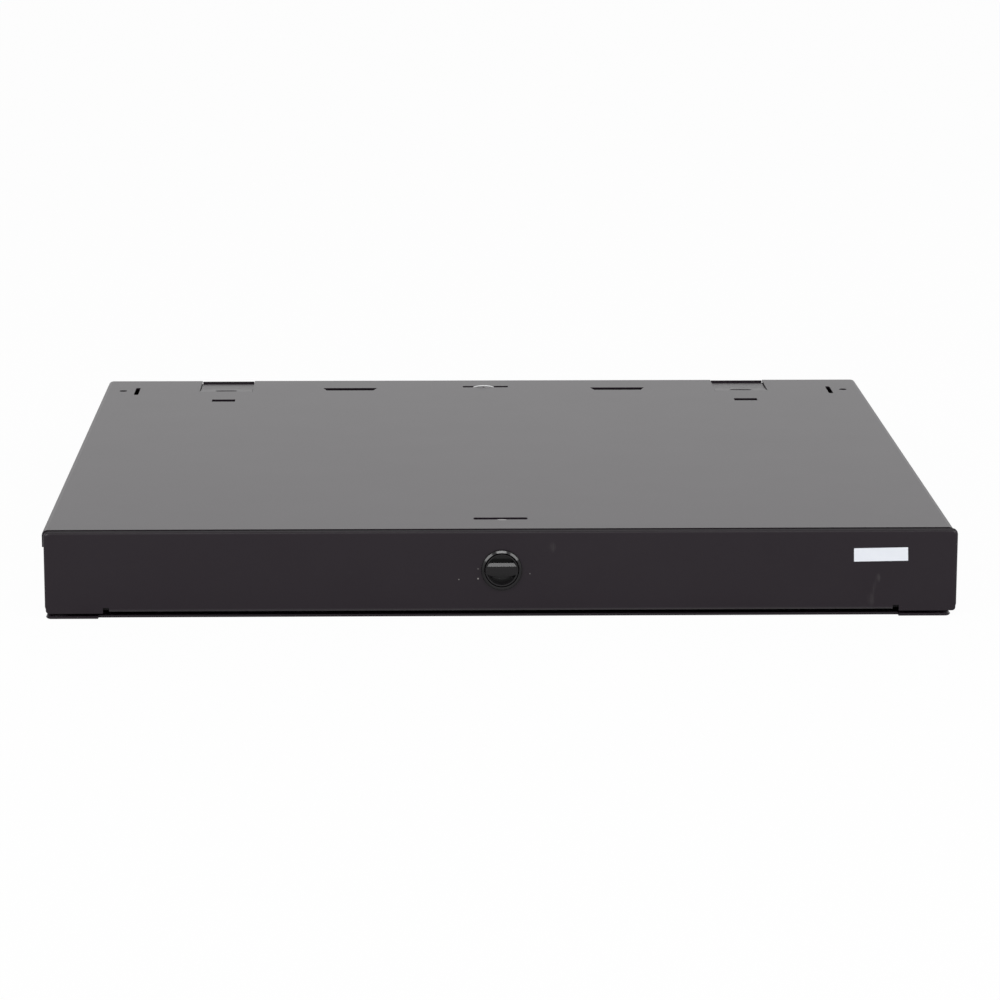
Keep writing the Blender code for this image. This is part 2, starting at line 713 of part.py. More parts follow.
def adapter_outline():
    """A duplex adapter from the side, with a dust cap in each of its ports."""
    body, flange = ADAPTER_HEIGHT / 2, ADAPTER_FLANGE / 2
    flange_back = PANEL_FRONT - SEAT
    flange_front = flange_back - ADAPTER_FLANGE_DEPTH
    front, back = PANEL_FRONT - ADAPTER_REACH, PANEL_FRONT + ADAPTER_REACH
    upper = [(front, body), (flange_front, body), (flange_front, flange), (flange_back, flange),
             (flange_back, body), (back, body)]
    low, high = (CAP_SPACING - CAP_HEIGHT) / 2, (CAP_SPACING + CAP_HEIGHT) / 2

    def caps(face, outward):
        tip, shoulder = face + outward * CAP_REACH, face + outward * (CAP_REACH - CAP_CHAMFER)
        return [(face, high), (shoulder, high), (tip, high - CAP_CHAMFER),
                (tip, low + CAP_CHAMFER), (shoulder, low), (face, low),
                (face, -low), (shoulder, -low), (tip, -low - CAP_CHAMFER),
                (tip, CAP_CHAMFER - high), (shoulder, -high), (face, -high)]

    rear_caps = caps(back, 1)
    front_caps = caps(front, -1)
    lower = [(y, -z) for y, z in reversed(upper)]
    loop = upper + rear_caps + lower + front_caps[::-1]
    return [(y, PANEL_Z + z) for y, z in loop]


def make_adapter_panels(drawer):
    outline = adapter_outline()
    for number, x in enumerate(panel_centres(), 1):
        def body(bm, x=x):
            prism(bm, rounded((x, PANEL_Z), (PANEL_WIDTH / 2, PANEL_HEIGHT / 2), PANEL_CORNER), "Y",
                  PANEL_FRONT, PANEL_BACK)

        def holes(bm, x=x):
            half = (ADAPTER_WIDTH / 2 + SEAT, ADAPTER_HEIGHT / 2 + SEAT)
            outlines = [rectangle((centre - half[0], PANEL_Z - half[1]),
                                  (centre + half[0], PANEL_Z + half[1]))
                        for centre in adapter_centres(x)]
            outlines += [circle((x + side * PLUNGER_X, PANEL_Z), PLUNGER_BORE, COARSE)
                         for side in (-1, 1)]
            for hole in outlines:
                prism(bm, hole, "Y", PANEL_FRONT - PANEL_SHEET, PANEL_BACK + PANEL_SHEET)

        piece(f"adapter_panel_{number}", "powder_coat", body, ((CUT, holes),), parent=drawer)
        for index, centre in enumerate(adapter_centres(x), 1):
            def adapter(bm, centre=centre):
                prism(bm, outline, "X", centre - ADAPTER_WIDTH / 2, centre + ADAPTER_WIDTH / 2)
            piece(f"adapter_{number}_{index}", "adapter_blue", adapter, parent=drawer)


def make_plungers(drawer):
    front = PANEL_FRONT - SEAT
    tail = FRAME_Y + FRAME_SHEET + PLUNGER_TAIL
    head = front - PLUNGER_HEAD_LENGTH
    dome = PLUNGER_DOME
    profile = [(0, head), (PLUNGER_HEAD - dome, head), (PLUNGER_HEAD, head + dome),
               (PLUNGER_HEAD, head + 2 * dome), (PLUNGER_NECK, head + 3 * dome),
               (PLUNGER_NECK, front - dome), (PLUNGER_HEAD, front - dome),
               (PLUNGER_HEAD, front), (PLUNGER_STEM, front), (PLUNGER_STEM, tail - 2 * dome),
               (PLUNGER_STEM / 2, tail), (0, tail)]
    number = 0
    for x in panel_centres():
        for side in (-1, 1):
            number += 1
            centre = x + side * PLUNGER_X

            def body(bm, centre=centre):
                turned(bm, profile, "Y", (centre, PANEL_Z), COARSE)
            piece(f"plunger_{number}", "black_plastic", body, parent=drawer,
                  place=(centre, front, PANEL_Z), smooth=True)


def make_spools(drawer):
    foot = TRAY_FLOOR + SEAT
    floor, under = foot + SPOOL_WALL, SPOOL_TOP - SPOOL_WALL
    profile = [(0, foot), (SPOOL_RIM, foot), (SPOOL_RIM, floor), (SPOOL_DRUM, floor),
               (SPOOL_DRUM, under), (SPOOL_RIM, under), (SPOOL_RIM, SPOOL_TOP),
               (SPOOL_DRUM - SPOOL_WALL, SPOOL_TOP), (SPOOL_DRUM - SPOOL_WALL, floor), (0, floor)]
    for side, name in ((-1, "left_slack_spool"), (1, "right_slack_spool")):
        x = side * SPOOL_X

        def body(bm, x=x):
            turned(bm, profile, "Z", (x, SPOOL_Y), PLAIN)

        def rim_gaps(bm, x=x):
            near, far = SPOOL_DRUM + SEAT, SPOOL_RIM + SPOOL_WALL
            half = SPOOL_GAP_WIDTH / 2
            for low, high in (((near, -half), (far, half)), ((-far, -half), (-near, half)),
                              ((-half, near), (half, far)), ((-half, -far), (half, -near))):
                prism(bm, rectangle((x + low[0], SPOOL_Y + low[1]), (x + high[0], SPOOL_Y + high[1])), "Z",
                      under - SPOOL_WALL, SPOOL_TOP + SPOOL_WALL)

        piece(name, "black_plastic", body, ((CUT, rim_gaps),), parent=drawer, smooth=True)


def make_cord_guides(drawer):
    foot = TRAY_FLOOR + SEAT
    y = FRONT + GUIDE_BACK
    for side, name in ((-1, "left_cord_guide"), (1, "right_cord_guide")):
        x, half, mouth = side * GUIDE_X, GUIDE_SIZE[0] / 2, GUIDE_MOUTH / 2
        top = foot + GUIDE_SIZE[1]
        section = fold([(x - mouth, top), (x - half, top), (x - half, foot), (x + half, foot),
                        (x + half, top), (x + mouth, top)], GUIDE_WALL, GUIDE_BEND)

        def body(bm, section=section):
            prism(bm, section, "Y", y - GUIDE_DEPTH / 2, y + GUIDE_DEPTH / 2)
        piece(name, "black_plastic", body, parent=drawer)


# Door

def door_rings():
    """Rings of the door pan, from its face over the rim to its inner face."""
    middle = (DOOR_TOP + DOOR_BOTTOM) / 2
    half = (DOOR_WIDTH / 2, (DOOR_TOP - DOOR_BOTTOM) / 2)
    steps = 4
    quarter = [k * pi / 2 / steps for k in range(steps + 1)]
    places = [(1 - sin(a), 0, DOOR_EDGE * (1 - cos(a))) for a in quarter]
    places += [(0, 0, DOOR_DEPTH), (0, DOOR_SHEET, DOOR_DEPTH)]
    places += [(1 - sin(a), DOOR_SHEET, DOOR_SHEET + (DOOR_EDGE - DOOR_SHEET) * (1 - cos(a)))
               for a in reversed(quarter)]
    rings = []
    for turn, sheet, depth in places:
        inset_x = sheet + (DOOR_SIDE_EDGE - sheet) * turn
        inset_z = sheet + (DOOR_EDGE - sheet) * turn
        outline = rounded((DOOR_SHIFT, middle), (half[0] - inset_x, half[1] - inset_z),
                          DOOR_CORNER - inset_z)
        rings.append([(x, DOOR_FACE + depth, z) for x, z in outline])
    return rings


def make_door(hinge):
    half = DOOR_WIDTH / 2
    inner_wall = half - DOOR_SHEET

    def body(bm):
        lofted(bm, door_rings())

    def corner_reliefs(bm):
        for side in (-1, 1):
            xs = sorted((side * (EAR_INNER - NOTCH_WIDTH), side * (inner_wall - SEAT)))
            prism(bm, rectangle((DOOR_SHIFT + xs[0], -DOOR_SHEET), (DOOR_SHIFT + xs[1], NOTCH_TOP)),
                  "Y", DOOR_FACE - DOOR_DEPTH, DOOR_FACE + 2 * DOOR_DEPTH)

    def ears(bm):
        outer, top = inner_wall + DOOR_SHEET / 2, NOTCH_TOP + DOOR_SHEET / 2
        corner = (outer - EAR_CORNER, EAR_BOTTOM + EAR_CORNER)
        outline = ([(EAR_INNER, EAR_BOTTOM)] + arc(corner, EAR_CORNER, -pi / 2, 0, 3)
                   + [(outer, top), (EAR_INNER, top)])
        for side in (-1, 1):
            ear = [(DOOR_SHIFT + x, z) for x, z in mirrored(outline, side)]
            prism(bm, ear, "Y", DOOR_FACE, DOOR_FACE + DOOR_SHEET)

    def arms(bm):
        reach = LUG_REACH + SEAT
        root = DOOR_FACE + DOOR_SHEET / 2
        outline = ([(root, HINGE_Z - reach)] + arc((HINGE_Y, HINGE_Z), reach, -pi / 2, pi / 2, 8)
                   + [(root, HINGE_Z + reach)])
        start = LUG_X + LUG_SHEET + ARM_GAP
        for side in (-1, 1):
            prism(bm, outline, "X", side * start, side * (start + LUG_SHEET))

    def holes(bm):
        prism(bm, circle((FRONT_LATCH_X, LATCH_Z), HOLE_FOR_SLEEVE, PLAIN), "Y",
              DOOR_FACE - DOOR_SHEET, DOOR_FACE + 2 * DOOR_SHEET)
        start = LUG_X + LUG_SHEET + ARM_GAP
        for side in (-1, 1):
            prism(bm, circle((HINGE_Y, HINGE_Z), HINGE_PIN + BORE_CLEARANCE, COARSE), "X",
                  side * (start - LUG_SHEET / 2), side * (start + 2 * LUG_SHEET))

    piece("door_panel", "powder_coat", body,
          ((CUT, corner_reliefs), (JOIN, ears), (JOIN, arms), (CUT, holes)), parent=hinge)


# Latches

def hexagon(centre, radius):
    return circle(centre, radius, 6)


def make_latch(prefix, x, face, inward, cam_depth, cam_turn, carrier, axis_anchor, sheet):
    """A quarter-turn latch; depths count from the outer face into the drawer."""
    centre = (x, LATCH_Z)
    bore = KNOB + SEAT
    cam_front = cam_depth - CAM_SHEET / 2
    cam_back = cam_depth + CAM_SHEET / 2

    def at(depth):
        return face + inward * depth

    def bezel(bm):
        profile = [(bore, -BEZEL_PROUD + BEZEL_CHAMFER), (bore + BEZEL_CHAMFER, -BEZEL_PROUD),
                   (BEZEL - BEZEL_CHAMFER, -BEZEL_PROUD), (BEZEL, -BEZEL_PROUD + BEZEL_CHAMFER),
                   (BEZEL, -SEAT), (SLEEVE, -SEAT), (SLEEVE, SLEEVE_LENGTH), (bore, SLEEVE_LENGTH)]
        turned(bm, [(r, at(d)) for r, d in profile], "Y", centre, FINE, closed=True)

    def lock_nut(bm):
        prism(bm, hexagon(centre, LOCK_NUT), "Y", at(sheet + SEAT), at(sheet + SEAT + LOCK_NUT_DEPTH))

    def lock_nut_bore(bm):
        prism(bm, circle(centre, HOLE_FOR_SLEEVE, PLAIN), "Y", at(0), at(SLEEVE_LENGTH))

    def knob(bm):
        front = -BEZEL_PROUD + KNOB_SUNK
        collar = SLEEVE_LENGTH + SEAT
        shoulder = cam_front - SEAT
        profile = [(0, front), (KNOB - KNOB_RIM, front), (KNOB, front + KNOB_RIM), (KNOB, collar),
                   (KNOB_COLLAR, collar), (KNOB_COLLAR, collar + KNOB_COLLAR_DEPTH),
                   (STEM, collar + KNOB_COLLAR_DEPTH), (STEM, shoulder - SHOULDER_DEPTH),
                   (SHOULDER, shoulder - SHOULDER_DEPTH), (SHOULDER, shoulder), (STEM, shoulder),
                   (STEM, cam_back + 2 * SEAT + CAM_NUT_DEPTH), (0, cam_back + 2 * SEAT + CAM_NUT_DEPTH)]
        turned(bm, [(r, at(d)) for r, d in profile], "Y", centre, FINE)

    def pockets(bm):
        front, back = -BEZEL_PROUD - KNOB_SUNK, POCKET_DEPTH - BEZEL_PROUD
        wide = KNOB - KNOB_RIM
        for side in (-1, 1):
            rings = []
            for depth, half_grip, radius in ((front, GRIP_FRONT / 2, wide),
                                             (back, GRIP_ROOT / 2, wide - KNOB_RIM)):
                start = asin(half_grip / radius)
                outline = arc((0, 0), radius, start, pi - start, 10)
                rings.append([(x + side * a, at(depth), LATCH_Z + side * b) for a, b in outline])
            lofted(bm, rings)

    def cam(bm):
        half_tip = asin(CAM_TIP / 2 / CAM_REACH)
        tip = arc((0, 0), CAM_REACH, pi / 2 - half_tip, pi / 2 + half_tip, 6)
        hub = arc((0, 0), CAM_HUB, pi, 2 * pi, 8)
        turn = Matrix.Rotation(cam_turn, 2)
        outline = [turn @ Vector(p) for p in tip + hub]
        prism(bm, [(x + p.x, LATCH_Z + p.y) for p in outline], "Y", at(cam_front), at(cam_back))

    def cam_hole(bm):
        prism(bm, circle(centre, STEM + SEAT, COARSE), "Y",
              at(cam_front - CAM_SHEET), at(cam_back + CAM_SHEET))

    def cam_nut(bm):
        prism(bm, hexagon(centre, CAM_NUT), "Y", at(cam_back + SEAT),
              at(cam_back + SEAT + CAM_NUT_DEPTH))

    def cam_nut_hole(bm):
        prism(bm, circle(centre, STEM + SEAT, COARSE), "Y",
              at(cam_back), at(cam_back + 3 * CAM_NUT_DEPTH))

    piece(f"{prefix}_latch_bezel", "black_plastic", bezel, parent=carrier, smooth=True)
    piece(f"{prefix}_latch_lock_nut", "black_plastic", lock_nut, ((CUT, lock_nut_bore),),
          parent=carrier)
    piece(f"{prefix}_latch_knob", "black_plastic", knob, ((CUT, pockets),), parent=axis_anchor,
          smooth=True)
    piece(f"{prefix}_latch_cam", "zinc", cam, ((CUT, cam_hole),), parent=axis_anchor)
    piece(f"{prefix}_latch_cam_nut", "zinc", cam_nut, ((CUT, cam_nut_hole),), parent=axis_anchor)


def main():
    for obj in list(bpy.data.objects):
        bpy.data.objects.remove(obj, do_unlink=True)

    drawer = anchor("drawer_slide", (0, FRONT, TRAY_BOTTOM))
    middle = anchor("middle_rail_slide", (0, RAIL_FRONT, RAIL_BOTTOM))
    hinge = anchor("door_hinge", (0, HINGE_Y, HINGE_Z), drawer)
    front_axis = anchor("front_latch_axis", (FRONT_LATCH_X, DOOR_FACE, LATCH_Z), hinge)
    rear_axis = anchor("rear_latch_axis", (REAR_LATCH_X, REAR, LATCH_Z))

    make_base_pan()
    make_top_cover()
    make_rear_panel()
    make_grommets()
    make_rails({"middle": middle, "inner": drawer})
    make_tray(drawer)
    make_hinge_pins(drawer)
    make_panel_frame(drawer)
    make_adapter_panels(drawer)
    make_plungers(drawer)
    make_spools(drawer)
    make_cord_guides(drawer)
    make_door(hinge)
    make_latch("front", FRONT_LATCH_X, DOOR_FACE, 1, DOOR_REVEAL + FRONT_SLOT_BACK, radians(90),
               hinge, front_axis, DOOR_SHEET)
    make_latch("rear", REAR_LATCH_X, REAR, -1, REAR_SLOT_BACK, 0, None, rear_axis, BASE_SHEET)


main()
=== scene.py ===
"""Looks of the sliding fibre patch drawer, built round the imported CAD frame. Metres, +Z up."""
from math import atan, cos, pi, radians, sin, sqrt

import bmesh
import bpy
from mathutils import Matrix, Vector


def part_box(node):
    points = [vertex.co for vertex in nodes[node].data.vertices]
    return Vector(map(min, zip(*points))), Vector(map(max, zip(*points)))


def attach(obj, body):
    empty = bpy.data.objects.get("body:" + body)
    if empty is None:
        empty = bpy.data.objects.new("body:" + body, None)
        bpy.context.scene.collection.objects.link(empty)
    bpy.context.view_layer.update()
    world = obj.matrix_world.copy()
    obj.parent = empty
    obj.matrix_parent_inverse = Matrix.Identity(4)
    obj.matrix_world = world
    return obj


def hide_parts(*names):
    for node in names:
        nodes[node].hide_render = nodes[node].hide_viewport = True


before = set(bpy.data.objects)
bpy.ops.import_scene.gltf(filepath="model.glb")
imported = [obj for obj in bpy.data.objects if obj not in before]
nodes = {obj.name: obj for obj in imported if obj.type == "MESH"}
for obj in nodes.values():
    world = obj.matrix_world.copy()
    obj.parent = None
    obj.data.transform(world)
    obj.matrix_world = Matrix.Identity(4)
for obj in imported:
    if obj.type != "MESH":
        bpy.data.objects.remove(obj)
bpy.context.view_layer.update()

# Camera, fitted to the corners of the top and the feet in the photograph
CAMERA_PLACE = Vector((-0.0429, -1.9542, 0.4305))
CAMERA_TURN = radians(1.413)
CAMERA_TILT = radians(12.015)
CAMERA_ROLL = radians(0.110)
CAMERA_LENS = 131.84

# Light
WORLD_LEVEL = 0.48
BACKDROP_LEVEL = 1.0
FLOOR_SEEN = 0.97
FLOOR_SIZE = 40.0
FLOOR_DROP = 0.0002
FLOOR = (0.62, 0.62, 0.62)
FLOOR_LIGHT = (0.64, 0.64, 0.64)
# Each lamp: where it stands, its width and height, and its power
LAMPS = {
    "left_lamp": ((-1.60, -1.55, 1.14), (1.00, 1.00), 19.0),
    "right_lamp": ((1.52, -1.56, 1.22), (1.00, 1.00), 20.0),
    "top_lamp": ((0.00, -1.34, 1.49), (1.00, 0.36), 11.0),
}

# Label at the right of the door, stuck on by hand and so a little tilted
LABEL_CORNERS = ((0.17375, 0.03406), (0.20030, 0.03450), (0.20048, 0.02780), (0.17390, 0.02742))
LABEL_THICKNESS = 0.00012

# Rivets that hold the outer rails to the side walls
RIVET_HEAD = 0.0030
RIVET_DOME = 0.00095
RIVET_Z = 0.0131
RIVET_BACKS = (0.0150, 0.1715, 0.3315)

# Latches: radii and depths, the depths counted from the sheet's outer face inwards
LATCH_PROUD = 0.0018
BEZEL_OUTER = 0.0100
BEZEL_BORE = 0.0085
SLEEVE = 0.0091
SLEEVE_DEPTH = 0.0070
KNOB_FRONT = -0.0015
KNOB_OUTER = 0.0082
POCKET_RIM = 0.0073
POCKET_FLOOR = 0.0044
GRIP_FACE = 0.0019
GRIP_HALF = 0.0036
GRIP_SLOPE = 0.0010
BEZEL_SLOPE = 0.00075
COLLAR = 0.0094
COLLAR_DEPTHS = (0.0073, 0.0085)
STEM = 0.0030
SHOULDER = 0.0050
SHOULDER_LENGTH = 0.0030
# How deep the stem and its shoulder reach
FRONT_STEM = (0.03205, 0.02565)
REAR_STEM = (0.02585, 0.01945)

# Adapters, seen from the front: half sizes, and depths counted from the face of their panel
ADAPTER_HALF = (0.0046, 0.0064)
ADAPTER_REACH = 0.0135
HALVES_MEET = 0.0040
HALVES_GAP = 0.0002
FLANGE_HALF = 0.0111
FLANGE_DEPTHS = (0.0003, 0.0023)
MOULDED_EDGE = 0.0004
RIB_HEIGHT = 0.0005
RIB_HALF = 0.0007
RIB_LENGTH = 0.0050
RIB_ACROSS = 0.0026
CLIP_HALF = 0.0022
CLIP_DEPTHS = (0.0018, 0.0070)
CAP_HALF = 0.0025
CAP_COLLAR = 0.0005
CAP_SPACING = 0.0062
CAP_REACH = 0.0045

# Plunger: the head's turned outline as (radius, distance from its front), and the stem behind it
PLUNGER_HEAD = ((0.0, 0.0), (0.0022, 0.0), (0.0034, 0.0003), (0.0039, 0.0009), (0.0040, 0.0014),
                (0.0040, 0.0022), (0.0036, 0.0028), (0.0032, 0.0034), (0.0031, 0.0042),
                (0.0033, 0.0048), (0.0038, 0.0051), (0.0040, 0.0054), (0.0040, 0.0062))
PLUNGER_STEM = 0.0019
PLUNGER_TIP = (0.0010, 0.0024)

# Screws: radius and height of each head, and where they stand
ADAPTER_SCREW = (0.0016, 0.0008)
ADAPTER_SCREW_Z = 0.0087
FOOT_SCREW = (0.0027, 0.0015)
FOOT_SCREW_X = (-0.185, -0.066, 0.066, 0.185)
FOOT_SCREW_BACK = 0.0045
SPOOL_SCREW = (0.0032, 0.0018)
GUIDE_SCREW = (0.0024, 0.0013)
RAIL_SCREW = (0.0025, 0.0011)
RAIL_SCREW_Z = 0.0200
RAIL_SCREW_END = 0.018
RAIL_SCREW_MIDDLE = -0.030
# Thickness of what the screws stand on
STEEL_SHEET = 0.0012
SPOOL_FLOOR = 0.0015
GUIDE_FLOOR = 0.0020


# Material nodes

def start_material(name, colour, roughness, metallic=0.0, ior=1.5):
    """A material with a plain shader; returns it with its tree and shader."""
    made = bpy.data.materials.new(name)
    made.use_nodes = True
    tree = made.node_tree
    shader = tree.nodes["Principled BSDF"]
    shader.inputs["Base Color"].default_value = (*colour, 1)
    shader.inputs["Roughness"].default_value = roughness
    shader.inputs["Metallic"].default_value = metallic
    shader.inputs["IOR"].default_value = ior
    return made, tree, shader


def add_node(tree, kind, values=None, **settings):
    """A shader node; values sets or links its inputs by name or number."""
    node = tree.nodes.new("ShaderNode" + kind)
    for key, value in settings.items():
        setattr(node, key, value)
    for key, value in (values or {}).items():
        if isinstance(value, bpy.types.NodeSocket):
            tree.links.new(value, node.inputs[key])
        else:
            node.inputs[key].default_value = value
    return node


def math_node(tree, operation, first, second):
    return add_node(tree, "Math", {0: first, 1: second}, operation=operation).outputs[0]


def multiplied(tree, first, second):
    return math_node(tree, "MULTIPLY", first, second)


def object_place(tree):
    return add_node(tree, "TexCoord").outputs["Object"]


def noise(tree, place, scale, detail=3.0, rough=0.55):
    values = {"Vector": place, "Scale": scale, "Detail": detail, "Roughness": rough}
    return add_node(tree, "TexNoise", values).outputs["Fac"]


def spread(tree, value, low, high, new_low, new_high):
    """The value's range low to high, stretched to a new range and clamped."""
    values = {"Value": value, "From Min": low, "From Max": high, "To Min": new_low, "To Max": new_high}
    return add_node(tree, "MapRange", values).outputs["Result"]


def mix_colour(tree, share, first, second):
    node = add_node(tree, "Mix", data_type="RGBA")
    for socket, value in ((node.inputs[0], share), (node.inputs[6], first), (node.inputs[7], second)):
        if isinstance(value, bpy.types.NodeSocket):
            tree.links.new(value, socket)
        elif isinstance(value, tuple):
            socket.default_value = (*value, 1)
        else:
            socket.default_value = value
    return node.outputs[2]


def link(tree, output, shader, name):
    tree.links.new(output, shader.inputs[name])


def add_bump(tree, shader, height, strength, distance):
    values = {"Height": height, "Strength": strength, "Distance": distance}
    link(tree, add_node(tree, "Bump", values).outputs["Normal"], shader, "Normal")


def near_place(tree, place, centre, reach):
    """One at a place on the object, falling to nothing at the reach on each axis."""
    values = {"Vector": place, "Location": tuple(-c / r for c, r in zip(centre, reach)),
              "Scale": tuple(1 / r for r in reach)}
    moved = add_node(tree, "Mapping", values).outputs["Vector"]
    away = add_node(tree, "VectorMath", {0: moved}, operation="LENGTH").outputs["Value"]
    return spread(tree, away, 0.35, 1.0, 1.0, 0.0)


# Materials

POWDER = (0.0084, 0.0046, 0.0082)
POWDER_LIGHT = (0.0094, 0.0056, 0.0092)
DUST = (0.22, 0.21, 0.20)
BARE_STEEL = (0.52, 0.51, 0.50)
# Colour of the highlight painted along the door's lower bend
LOWER_BEND_HIGHLIGHT = (0.034, 0.030, 0.034)
# Colour of the shade painted on the dull parts of the door's upper bend
PAINTED_TOP_SHADE = (0.0020, 0.0014, 0.0020)
# Door: its face, how far back its edges reach, and the heights at which its two bends begin
DOOR_FACE = -0.2085
DOOR_BACK = -0.2052
LOWER_BEND = 0.0048
UPPER_BEND = 0.0425
# The upper bend shines only above a height, and is dull again where it turns into the flat top; shade is
# painted on these dull parts
SHINE_BEGINS = 0.0431
FLAT_BEGINS = -0.2076
# The painted highlight on the lower edge lies between the two notches only: the middle and half length
# of that stretch
HIGHLIGHT_MIDDLE = 0.0015
HIGHLIGHT_HALF = 0.1925
HIGHLIGHT_BOTTOM = 0.0020
# Where the tip of the front cam has rubbed the edge of its slot, and how far the mark reaches
RUBBED = (0.0018, -0.1836, 0.0436)
RUBBED_REACH = (0.0030, 0.0016, 0.0016)
# Faint marks of handling on the door: place across and up, half width and half height
SCUFFS = ((0.1860, 0.0192, 0.0016, 0.0026), (0.1845, 0.0142, 0.0018, 0.0044),
          (0.1829, 0.0086, 0.0024, 0.0040), (0.0258, 0.0352, 0.0020, 0.0032))
MARK_DEPTH = 0.0040
# Specks of dust round the latch: place across and up, and size
SPECKS = ((-0.0105, 0.0195, 0.00055), (-0.0199, 0.0191, 0.00035), (-0.0105, 0.0244, 0.00030),
          (0.0149, 0.0219, 0.00030))


def add_scuffs(tree, place, coat):
    """Fine upright scratches of dust, seen only where the door was handled."""
    drawn = add_node(tree, "Mapping", {"Vector": place, "Scale": (1.0, 1.0, 0.06)}).outputs["Vector"]
    scratches = spread(tree, noise(tree, drawn, 900.0, 3.0), 0.36, 0.66, 0.0, 0.09)
    for across, up, half_width, half_height in SCUFFS:
        mark = near_place(tree, place, (across, DOOR_FACE, up), (half_width, MARK_DEPTH, half_height))
        coat = mix_colour(tree, multiplied(tree, mark, scratches), coat, DUST)
    return coat


def painted_lower_bend_highlight(tree, axes):
    """Share of a painted highlight: one on the door's lower bend, between its notches."""
    face = spread(tree, axes["Y"], DOOR_BACK - 0.0018, DOOR_BACK - 0.0014, 1.0, 0.0)
    low = spread(tree, axes["Z"], LOWER_BEND - 0.0008, LOWER_BEND, 1.0, 0.0)
    above_foot = spread(tree, axes["Z"], HIGHLIGHT_BOTTOM, HIGHLIGHT_BOTTOM + 0.0002, 0.0, 1.0)
    aside = math_node(tree, "ABSOLUTE", math_node(tree, "SUBTRACT", axes["X"], HIGHLIGHT_MIDDLE), 0.0)
    between = spread(tree, aside, HIGHLIGHT_HALF, HIGHLIGHT_HALF + 0.0010, 1.0, 0.0)
    return multiplied(tree, multiplied(tree, face, between), multiplied(tree, low, above_foot))


def door_top_and_painted_shade(tree, axes):
    """Two shares: one on the door's upper bend, and one on the dull parts of that bend, where shade is
    painted.
    """
    door = spread(tree, axes["Y"], DOOR_BACK - 0.0001, DOOR_BACK, 1.0, 0.0)
    top = multiplied(tree, door, spread(tree, axes["Z"], UPPER_BEND, UPPER_BEND + 0.0004, 0.0, 1.0))
    flat = spread(tree, axes["Y"], FLAT_BEGINS, FLAT_BEGINS + 0.0003, 0.0, 1.0)
    below_shine = spread(tree, axes["Z"], SHINE_BEGINS - 0.0002, SHINE_BEGINS, 1.0, 0.0)
    return top, multiplied(tree, top, math_node(tree, "MAXIMUM", flat, below_shine))


def powder_coat():
    """Fine matt black powder coat: pebbled, mottled, with the dust and wear that the photo shows, a
    painted highlight along the door's lower bend and painted shade on the door's upper bend.
    """
    made, tree, shader = start_material("powder_coat_look", POWDER, 0.32, ior=1.38)
    place = object_place(tree)
    axes = add_node(tree, "SeparateXYZ", {0: place}).outputs
    mottle = noise(tree, place, 26.0, 4.0)
    coat = mix_colour(tree, spread(tree, mottle, 0.35, 0.68, 0.0, 1.0), POWDER, POWDER_LIGHT)
    coat = add_scuffs(tree, place, coat)
    # Painted highlight: a lighter band along the door's lower bend, between its notches
    coat = mix_colour(tree, painted_lower_bend_highlight(tree, axes), coat, LOWER_BEND_HIGHLIGHT)
    door_top, painted_shade = door_top_and_painted_shade(tree, axes)
    # Painted shade: the dull parts of the door's upper bend and its flat top are darkened
    coat = mix_colour(tree, painted_shade, coat, PAINTED_TOP_SHADE)
    for across, up, size in SPECKS:
        dot = near_place(tree, place, (across, DOOR_FACE, up), (size, size, size))
        coat = mix_colour(tree, dot, coat, DUST)

    # Scattered dust: small dots in a few of the cells
    cells = add_node(tree, "TexVoronoi", {"Vector": place, "Scale": 95.0}).outputs
    near = spread(tree, cells["Distance"], 0.014, 0.022, 1.0, 0.0)
    chosen = spread(tree, cells["Color"], 0.78, 0.80, 0.0, 1.0)
    coat = mix_colour(tree, multiplied(tree, near, chosen), coat, DUST)

    ragged = spread(tree, noise(tree, place, 1100.0, 2.0), 0.25, 0.50, 0.0, 1.0)
    rubbed = multiplied(tree, near_place(tree, place, RUBBED, RUBBED_REACH), ragged)
    coat = mix_colour(tree, spread(tree, rubbed, 0.15, 0.45, 0.0, 1.0), coat, BARE_STEEL)
    link(tree, coat, shader, "Base Color")

    rough = spread(tree, mottle, 0.30, 0.72, 0.318, 0.326)
    dulled = multiplied(tree, door_top, spread(tree, painted_shade, 0.0, 1.0, 0.22, 0.66))
    link(tree, math_node(tree, "ADD", rough, dulled), shader, "Roughness")
    add_bump(tree, shader, noise(tree, place, 1500.0, 2.0), 0.22, 0.00004)
    return made


def moulded_black():
    """Smooth black moulded plastic."""
    made, tree, shader = start_material("moulded_black_look", (0.010, 0.010, 0.011), 0.28)
    place = object_place(tree)
    link(tree, spread(tree, noise(tree, place, 180.0), 0.3, 0.7, 0.24, 0.34), shader, "Roughness")
    add_bump(tree, shader, noise(tree, place, 2600.0, 1.0), 0.08, 0.00002)
    return made


def latch_black():
    """Polished black moulding of the latch, which shows the light only on its edges."""
    made, tree, shader = start_material("latch_black_look", (0.0036, 0.0029, 0.0036), 0.14, ior=1.40)
    place = object_place(tree)
    link(tree, spread(tree, noise(tree, place, 300.0), 0.3, 0.7, 0.12, 0.17), shader, "Roughness")
    add_bump(tree, shader, noise(tree, place, 2600.0, 1.0), 0.05, 0.00001)
    return made


